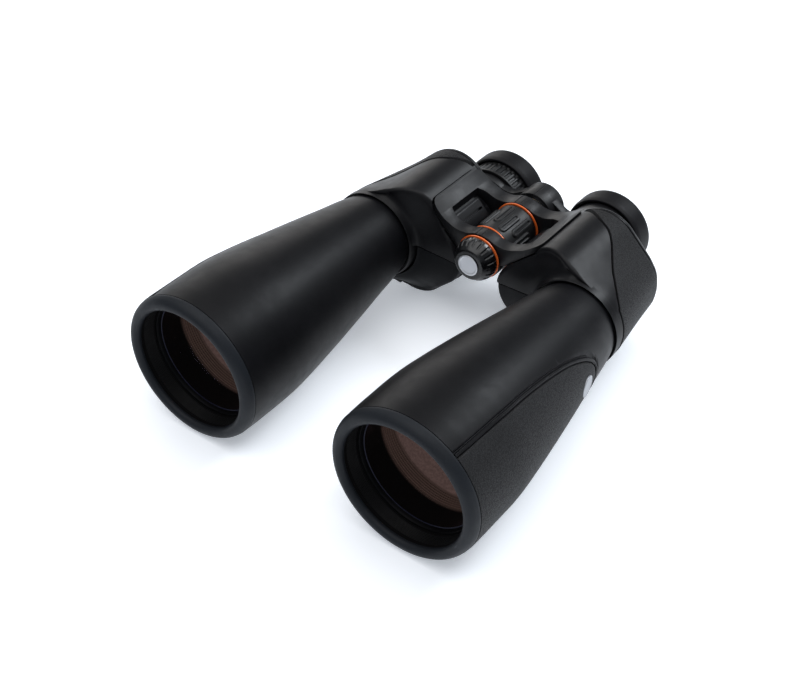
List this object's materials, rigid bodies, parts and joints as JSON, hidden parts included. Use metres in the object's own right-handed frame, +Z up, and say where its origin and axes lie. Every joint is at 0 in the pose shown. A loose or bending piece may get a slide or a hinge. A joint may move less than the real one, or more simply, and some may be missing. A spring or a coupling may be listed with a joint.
{
  "type": "astronomy binoculars",
  "caption": "Large Porro-prism astronomy binoculars: long flared barrels, offset prism housings, a folding centre hinge with focus wheel, and twist-up eyecups.",
  "frame": {"origin": "centre of the base, on the surface that the binoculars lie on", "axes": "+Z up; the objectives look along -Y and the eyepieces point to +Y; +X is the user's left half"},
  "size_m": [0.2268, 0.2624, 0.0872],
  "materials": {
    "armour": "satin moulded rubber",
    "rim": "satin moulded rubber",
    "textured": "fine stippled rubber",
    "cover": "satin plastic",
    "frame": "satin black paint on cast metal",
    "black_metal": "black anodised",
    "black_plastic": "satin plastic",
    "steel": "turned steel",
    "brass": "turned brass",
    "silver": "bright silver",
    "orange": "glossy orange",
    "gloss_black": "gloss black",
    "lens_glass": "coated optical glass",
    "prism_glass": "clear optical glass",
    "cup_rubber": "soft matte rubber",
    "ribbed_rubber": "ribbed rubber"
  },
  "bodies": {
    "left_half": {"left_rim_bumper": "rim", "left_barrel_armour": "armour", "left_barrel_grip_panel": "textured", "left_barrel_badge": "silver", "left_objective_tube": "black_metal", "left_lens_ring": "black_metal", "left_objective_lens": "lens_glass", "left_baffle_tube": "black_metal", "left_prism_housing": "armour", "left_front_prism_cover": "cover", "left_rear_cover": "cover", "left_housing_grip_panel": "textured", "left_prism_shelf": "black_metal", "left_front_prism": "prism_glass", "left_rear_prism": "prism_glass", "left_eyepiece_guide": "black_metal", "left_hinge_frame": "frame", "hinge_axle": "steel", "tripod_socket": "brass"},
    "right_half": {"right_rim_bumper": "rim", "right_barrel_armour": "armour", "right_barrel_grip_panel": "textured", "right_barrel_badge": "silver", "right_objective_tube": "black_metal", "right_lens_ring": "black_metal", "right_objective_lens": "lens_glass", "right_baffle_tube": "black_metal", "right_prism_housing": "armour", "right_front_prism_cover": "cover", "right_rear_cover": "cover", "right_housing_grip_panel": "textured", "right_prism_shelf": "black_metal", "right_front_prism": "prism_glass", "right_rear_prism": "prism_glass", "right_eyepiece_guide": "black_metal", "right_hinge_frame": "frame"},
    "focus_wheel": {"focus_wheel_core": "black_metal", "focus_wheel_grip": "ribbed_rubber", "focus_ring_front": "orange", "focus_ring_rear": "orange", "focus_screw": "steel"},
    "left_carriage": {"left_eyepiece_arm": "frame", "left_ocular_body": "black_metal", "left_eye_lens": "lens_glass", "left_eyepiece_collar": "black_plastic", "focus_nut": "brass", "hub_end_cap": "black_plastic"},
    "right_carriage": {"right_eyepiece_arm": "frame"},
    "right_ocular": {"right_ocular_body": "black_metal", "right_eye_lens": "lens_glass"},
    "dioptre_ring": {"right_dioptre_ring": "ribbed_rubber"},
    "left_cup_lift": {"left_cup_sleeve": "black_metal"},
    "left_cup": {"left_eyecup": "cup_rubber"},
    "right_cup_lift": {"right_cup_sleeve": "black_metal"},
    "right_cup": {"right_eyecup": "cup_rubber"},
    "tripod_cap": {"tripod_cap": "gloss_black", "tripod_cap_ring": "orange", "tripod_cap_disc": "silver"}
  },
  "joints": [
    {"name": "ipd_fold", "type": "hinge", "parent": "left_half", "child": "right_half", "pos_m": [0, 0.06375, 0.0532], "axis": [0, -1, 0], "range_deg": [0, 49.6]},
    {"name": "focus_turn", "type": "hinge", "parent": "left_half", "child": "focus_wheel", "pos_m": [0, 0.06375, 0.0532], "axis": [0, 1, 0], "range_deg": [-270, 270]},
    {"name": "left_focus_slide", "type": "slide", "parent": "left_half", "child": "left_carriage", "axis": [0, 1, 0], "range_m": [-0.0045, 0.0045]},
    {"name": "right_focus_slide", "type": "slide", "parent": "right_half", "child": "right_carriage", "axis": [0, 1, 0], "range_m": [-0.0045, 0.0045]},
    {"name": "dioptre_turn", "type": "hinge", "parent": "right_carriage", "child": "dioptre_ring", "pos_m": [-0.0371, 0.11235, 0.0396], "axis": [0, 1, 0], "range_deg": [-60, 60]},
    {"name": "dioptre_slide", "type": "slide", "parent": "right_carriage", "child": "right_ocular", "axis": [0, 1, 0], "range_m": [-0.0015, 0.0015]},
    {"name": "left_cup_rise", "type": "slide", "parent": "left_carriage", "child": "left_cup_lift", "axis": [0, 1, 0], "range_m": [0, 0.0065]},
    {"name": "left_cup_twist", "type": "hinge", "parent": "left_cup_lift", "child": "left_cup", "pos_m": [0.0371, 0.12375, 0.0396], "axis": [0, 1, 0], "range_deg": [0, 120]},
    {"name": "right_cup_rise", "type": "slide", "parent": "right_ocular", "child": "right_cup_lift", "axis": [0, 1, 0], "range_m": [0, 0.0065]},
    {"name": "right_cup_twist", "type": "hinge", "parent": "right_cup_lift", "child": "right_cup", "pos_m": [-0.0371, 0.12375, 0.0396], "axis": [0, 1, 0], "range_deg": [0, 120]},
    {"name": "tripod_cap_pull", "type": "slide", "parent": "left_half", "child": "tripod_cap", "axis": [0, -1, 0], "range_m": [0, 0.025]}
  ],
  "couplings": [
    {"joint": "focus_turn", "follows": "left_focus_slide", "rad_per_m": 1047},
    {"joint": "right_focus_slide", "follows": "left_focus_slide", "ratio": 1},
    {"joint": "dioptre_turn", "follows": "dioptre_slide", "rad_per_m": 698},
    {"joint": "left_cup_rise", "follows": "left_cup_twist", "m_per_rad": 0.0031},
    {"joint": "right_cup_rise", "follows": "right_cup_twist", "m_per_rad": 0.0031}
  ]
}
